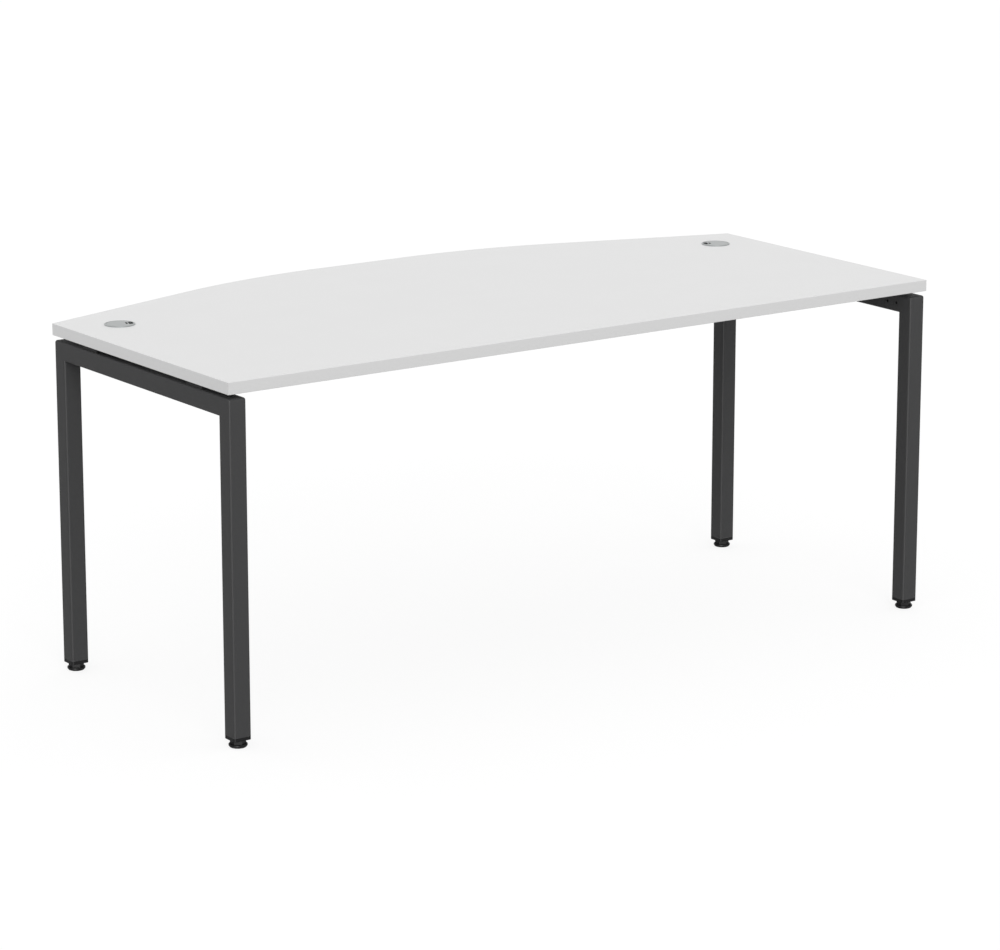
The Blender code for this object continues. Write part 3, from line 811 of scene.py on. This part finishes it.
# Tabletop board
# A 25 mm chipboard with a light grey melamine face on both sides, straight along the user's edge
# and bowed along the far one. It is bored for the grommets, and below for the bolts and screws.
band_low, band_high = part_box("near_edge_band")
top_low, top_high = band_low.z, band_high.z
top_thickness = top_high - top_low
band_thickness = 0.002
board_edge = 0.00015
bow_angle = math.radians(17.9)
bow_radius = 1.24
bow_flat = 0.232
bow_steps = 40
bore_radius = 0.030
chip_skin = 0.0004
pore_height = 0.000008
chip_height = 0.0002
melamine_greys = [(0.30, (0.742, 0.742, 0.742)), (0.70, (0.758, 0.758, 0.758))]
chip_tans = [(0.30, (0.20, 0.12, 0.06)), (0.50, (0.42, 0.29, 0.17)), (0.70, (0.60, 0.46, 0.30))]

melamine, place = new_finish("light_grey_melamine")
pores = speckle(melamine, place, per_metre=1500.0, detail=3.0)
clouds = speckle(melamine, place, per_metre=9.0, detail=4.0)
feed(melamine, "Base Color", blended(melamine, pores, melamine_greys))
gloss(melamine, clouds, dull=0.50, bright=0.45)
relief(melamine, (pores, pore_height))

chipboard, place = new_finish("raw_chipboard")
chips = speckle(chipboard, place, per_metre=420.0, detail=4.0)
feed(chipboard, "Base Color", blended(chipboard, chips, chip_tans))
gloss(chipboard, chips, dull=0.90, bright=0.80)
relief(chipboard, (chips, chip_height))

desk_half = band_high.x
near_edge = band_low.y
bow_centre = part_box("bowed_edge_band")[1].y - bow_radius


def swing(x, height):
    """Carries the line on round one of the two arcs of the bow."""
    bpy.ops.mesh.spin(
        steps=bow_steps, angle=-bow_angle, center=(x, bow_centre, height), axis=(0, 0, 1)
    )


def bow_places(inward, reach):
    """Where the bow's line, this far inside the top's edge, bends, crests and ends."""
    radius = bow_radius - inward
    bend_x = bow_flat / 2 + radius * math.sin(bow_angle)
    bend_y = bow_centre + radius * math.cos(bow_angle)
    return bend_x, bend_y, bow_centre + radius, bend_y - (reach - bend_x) * math.tan(bow_angle)


def draw_bow(inward, reach, height):
    """Draws the bow from its right end, whose point is selected, to its left end."""
    bend_x, bend_y, crest, end_y = bow_places(inward, reach)
    draw_on([(reach, end_y, height), (bend_x, bend_y, height)])
    swing(bow_flat / 2, height)
    draw_on([(bow_flat / 2, crest, height), (-bow_flat / 2, crest, height)])
    swing(-bow_flat / 2, height)
    draw_on([(-bend_x, bend_y, height), (-reach, end_y, height)])


half = desk_half - band_thickness
near = near_edge + band_thickness
end_y = bow_places(band_thickness, half)[-1]
board = line(
    "tabletop_board", [(-half, near, top_low), (half, near, top_low), (half, end_y, top_low)]
)
draw_bow(band_thickness, half, top_low)
bpy.ops.mesh.select_all(action="SELECT")
bpy.ops.mesh.edge_face_add()
pull(0, 0, top_thickness)
put_down()
face_outwards(board)
work_on(board)
choose(board, "EDGE", lambda e: between(e, level, upright))
round_off(board_edge, steps=1)
put_down()
board_middle = (top_low + top_high) / 2
for side in sides:
    x, y, z = middle_of(side + "_grommet_liner")
    drill(board, (x, y, board_middle), bore_radius, 2 * top_thickness, steps=96)
holes = [(f"{side}_{end}_spacer_bolt", bolt_hole_radius) for side, end in corners]
for beam in ends:
    for place_name in (*sides, "middle"):
        holes.append((f"{beam}_beam_{place_name}_screw", screw_hole_radius))
for node, radius in holes:
    x, y, z = middle_of(node)
    drill(board, (x, y, top_low), radius, 2 * (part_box(node)[1].z - top_low))


def shows_chips(face):
    """Whether a face of the board lies between its two melamine skins."""
    return top_low + chip_skin < face.calc_center_median().z < top_high - chip_skin


board.data.materials.clear()
board.data.materials.append(melamine)
board.data.materials.append(chipboard)
work_on(board)
for index, is_chosen in ((1, shows_chips), (0, lambda f: not shows_chips(f))):
    choose(board, "FACE", is_chosen)
    board.active_material_index = index
    bpy.ops.object.material_slot_assign()
put_down()
hand_over(board, melamine, "desk", "laminate", "tabletop_core")

# Edge bands
# Strips of 2 mm plastic in the colour of the top, glued round the board and trimmed flush. Their
# outer edges are rounded, and the near and bowed strips run past the ends of the side strips.
band_rounding = 0.0009
band_grain_height = 0.000006
band_greys = [(0.30, (0.725, 0.725, 0.725)), (0.70, (0.742, 0.742, 0.742))]

band_plastic, place = new_finish("light_grey_edge_band")
fine = speckle(band_plastic, place, per_metre=2200.0)
feed(band_plastic, "Base Color", blended(band_plastic, fine, band_greys))
gloss(band_plastic, speckle(band_plastic, place, per_metre=60.0), dull=0.46, bright=0.40)
relief(band_plastic, (fine, band_grain_height))

near_band = block("near_edge_strip", *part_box("near_edge_band"))
choose(near_band, "EDGE", lambda e: between(e, level, lambda n: n.y < -mostly))
round_off(band_rounding, steps=4)
put_down()
hand_over(near_band, band_plastic, "desk", "edge_band_plastic", "near_edge_band")

bow_normal = Vector((-math.sin(bow_angle), math.cos(bow_angle), 0))
seam = Vector((-desk_half, bow_places(0, desk_half)[-1], 0)) - band_thickness * bow_normal
left_band = block(
    "left_edge_strip",
    (-desk_half, near_edge + band_thickness, top_low),
    (-desk_half + band_thickness, seam.y + tube_size, top_high),
)
choose(left_band, "EDGE", lambda e: between(e, level, lambda n: n.x < -mostly))
round_off(band_rounding, steps=4)
put_down()
keep_behind(left_band, seam, bow_normal)
right_band = opposite(left_band, "right_edge_strip")
hand_over(left_band, band_plastic, "desk", "edge_band_plastic", "left_edge_band")
hand_over(right_band, band_plastic, "desk", "edge_band_plastic", "right_edge_band")

reach = desk_half + tube_size
bowed_band = line("bowed_edge_strip", [(reach, bow_places(0, reach)[-1], top_low)])
draw_bow(0, reach, top_low)
bpy.ops.mesh.select_all(action="SELECT")
pull(0, 0, top_thickness)
choose(bowed_band, "FACE", lambda f: f.normal.y < 0)
bpy.ops.mesh.flip_normals()
put_down()
apply_modifier(bowed_band, "SOLIDIFY", thickness=band_thickness, offset=-1, use_even_offset=True)
keep_behind(bowed_band, (desk_half, 0, 0), (1, 0, 0))
keep_behind(bowed_band, (-desk_half, 0, 0), (-1, 0, 0))
work_on(bowed_band)
choose(bowed_band, "EDGE", lambda e: between(e, level, lambda n: n.y > mostly))
round_off(band_rounding, steps=4)
put_down()
hand_over(bowed_band, band_plastic, "desk", "edge_band_plastic", "bowed_edge_band")

# Cable grommets
# Near each far corner, a flanged sleeve in satin metal is pressed into a 60 mm bore. A round cover
# lies on a ledge inside it and turns, with a mouth for cables at its rim and a slot for a finger.
fit_gap = 0.0003
flange_radius = 0.03225
flange_height = 0.0018
flange_edge = 0.0008
sleeve_depth = 0.020
sleeve_wall = 0.0012
ledge_width = 0.0017
cover_thickness = 0.0025
cover_edge = 0.0006
skirt_depth = 0.004
skirt_wall = 0.0012
mouth_start = 0.0185
mouth_width = 0.022
mouth_corner = 0.003
slot_width = 0.0044
slot_length = 0.016
slot_bar = 0.0021
cut_above = 0.004
ring_height = 0.000003
satin_height = 0.000002
silvers = [(0.30, (0.290, 0.303, 0.303)), (0.70, (0.390, 0.408, 0.408))]
cover_turns = {"left": math.radians(-20), "right": math.radians(153)}

satin_metal, place = new_finish("satin_grommet_metal", metallic=1.0)
liner_middle = middle_of("right_grommet_liner")
halves = add_node(satin_metal, "VectorMath", {0: place}, operation="ABSOLUTE").outputs[0]
centred = add_node(
    satin_metal,
    "Mapping",
    {"Vector": halves, "Location": (-liner_middle.x, -liner_middle.y, -top_high)},
).outputs["Vector"]
flat_place = add_node(
    satin_metal, "VectorMath", {0: centred, 1: (1, 1, 0)}, operation="MULTIPLY"
).outputs[0]
out = add_node(satin_metal, "VectorMath", {0: flat_place}, operation="LENGTH").outputs["Value"]
rings = add_node(
    satin_metal, "TexNoise", {"W": out, "Scale": 1600.0, "Detail": 3.0}, noise_dimensions="1D"
).outputs["Fac"]
satin = speckle(satin_metal, place, per_metre=2500.0)
feed(satin_metal, "Base Color", blended(satin_metal, rings, silvers))
gloss(satin_metal, rings, dull=0.36, bright=0.28)
relief(satin_metal, (rings, ring_height), (satin, satin_height))

outer = bore_radius - fit_gap
recess = outer - sleeve_wall
inner = recess - ledge_width
flange_top = fit_gap + flange_height
ledge = flange_top - cover_thickness - fit_gap
rim = (flange_radius - flange_edge, flange_top - flange_edge)
sleeve = [
    (recess, ledge),
    (recess, flange_top),
    *arc(rim, flange_edge, quarter_turn, -quarter_turn, steps=4),
    (flange_radius, 0),
    (outer, 0),
    (outer, -sleeve_depth),
    (inner, -sleeve_depth),
    (inner, ledge),
    (recess, ledge),
]
cover_radius = recess - fit_gap
skirt = cover_radius - ledge_width
under = flange_top - cover_thickness
cover_rim = (cover_radius - cover_edge, flange_top - cover_edge)
plate = [
    (0, flange_top),
    *arc(cover_rim, cover_edge, quarter_turn, -quarter_turn, steps=3),
    (cover_radius, under),
    (skirt, under),
    (skirt, under - skirt_depth),
    (skirt - skirt_wall, under - skirt_depth),
    (skirt - skirt_wall, under),
    (0, under),
]
cover = turned("cover", plate, steps=128)


def pierce(start, stop, width, corner):
    """Cuts an upright window with rounded corners through the cover."""
    tool = block("cutter", (start, -width / 2, -sleeve_depth), (stop, width / 2, cut_above))
    choose(tool, "EDGE", lambda e: runs_along(e, 2))
    round_off(corner, bend_steps)
    put_down()
    combine(cover, tool, "DIFFERENCE")


slot_stop = mouth_start - slot_bar
pierce(mouth_start, tube_size, mouth_width, mouth_corner)
pierce(slot_stop - slot_width, slot_stop, slot_length, slot_width / 2 - fit_gap)
for side in sides:
    x, y, z = middle_of(side + "_grommet_liner")
    liner = turned(side + "_grommet_sleeve", sleeve, (x, y, top_high), steps=128)
    hand_over(liner, satin_metal, "desk", "satin_grommet_metal", side + "_grommet_liner")
    lid = copied(cover, side + "_grommet_lid", (x, y, top_high), (0, 0, cover_turns[side]))
    hand_over(lid, satin_metal, side + "_cover", "satin_grommet_metal", side + "_grommet_cover")
bpy.data.objects.remove(cover)

# Studio
# A white floor that runs out of sight and a white surround, which the camera, gloss and glass see
# as plain white, with a faint shadow of the desk. A large soft lamp lights the desk. Two strip
# lamps show only in the gloss of the frames, caps and feet, and draw their corners and fronts.
floor_size = 60
floor_white = 0.35
floor_shadow_share = 0.20
floor_glow = 0.82
surround_light = 0.87
strip_lamps = (("corner_strip", -45, 18.0), ("front_strip", 35, 2.2))
camera_place = (-4.71727, -6.72997, 2.38447)
camera_tilt = math.radians(76.0727)
camera_turn = math.radians(-35.3904)
camera_lens = 139.314
camera_sensor = 36


def seen_directly(tree):
    """1 for what the camera, a reflection or glass sees, and 0 for light on a surface."""
    path = tree.nodes.new("ShaderNodeLightPath")
    total = path.outputs["Is Camera Ray"]
    for name in ("Is Glossy Ray", "Is Transmission Ray"):
        either = tree.nodes.new("ShaderNodeMath")
        either.operation = "MAXIMUM"
        tree.links.new(total, either.inputs[0])
        tree.links.new(path.outputs[name], either.inputs[1])
        total = either.outputs[0]
    return total


def from_to(tree, share, start, end):
    """A number that goes from one value to another with a share."""
    spread = tree.nodes.new("ShaderNodeMapRange")
    spread.inputs["To Min"].default_value = start
    spread.inputs["To Max"].default_value = end
    tree.links.new(share, spread.inputs["Value"])
    return spread.outputs["Result"]


bpy.ops.object.select_all(action="DESELECT")
bpy.ops.mesh.primitive_plane_add(size=floor_size, location=(0, 0, 0))
floor = bpy.context.object
floor.name = floor.data.name = "studio_floor"
floor_paint = bpy.data.materials.new("studio_white")
floor_paint.use_nodes = True
tree = floor_paint.node_tree
tree.nodes.clear()
seen = seen_directly(tree)
matt = tree.nodes.new("ShaderNodeBsdfDiffuse")
glow = tree.nodes.new("ShaderNodeEmission")
both = tree.nodes.new("ShaderNodeAddShader")
paint_out = tree.nodes.new("ShaderNodeOutputMaterial")
tree.links.new(from_to(tree, seen, floor_white, floor_shadow_share), matt.inputs["Color"])
tree.links.new(from_to(tree, seen, 0.0, floor_glow), glow.inputs["Strength"])
tree.links.new(matt.outputs[0], both.inputs[0])
tree.links.new(glow.outputs[0], both.inputs[1])
tree.links.new(both.outputs[0], paint_out.inputs["Surface"])
floor.data.materials.append(floor_paint)

surround = bpy.data.worlds.new("studio_surround")
surround.use_nodes = True
tree = surround.node_tree
background = tree.nodes["Background"]
background.inputs["Color"].default_value = (1, 1, 1, 1)
tree.links.new(
    from_to(tree, seen_directly(tree), surround_light, 1.0), background.inputs["Strength"]
)
bpy.context.scene.world = surround


def lamp(name, tilt, turn, softness, power):
    """A far lamp tilted up from straight down and turned about the desk, all in degrees."""
    bpy.ops.object.light_add(type="SUN", rotation=(math.radians(tilt), 0, math.radians(turn)))
    light = bpy.context.object
    light.name = light.data.name = name
    light.data.angle = math.radians(softness)
    light.data.energy = power
    return light


strip_lit = bpy.data.collections.new("strip_lit")
for piece in list(bpy.data.objects):
    if piece.name.endswith(("_tube", "_end_cap", "_foot")):
        strip_lit.objects.link(piece)
lamp("near_lamp", tilt=65, turn=-24, softness=40, power=0.90)
for name, turn, power in strip_lamps:
    strip = lamp(name, tilt=84, turn=turn, softness=12, power=power)
    strip.visible_diffuse = False
    strip.light_linking.receiver_collection = strip_lit

bpy.ops.object.camera_add(location=camera_place, rotation=(camera_tilt, 0, camera_turn))
camera = bpy.context.object
camera.data.lens = camera_lens
camera.data.sensor_width = camera_sensor
bpy.context.scene.camera = camera
bpy.context.scene.view_settings.view_transform = "Standard"
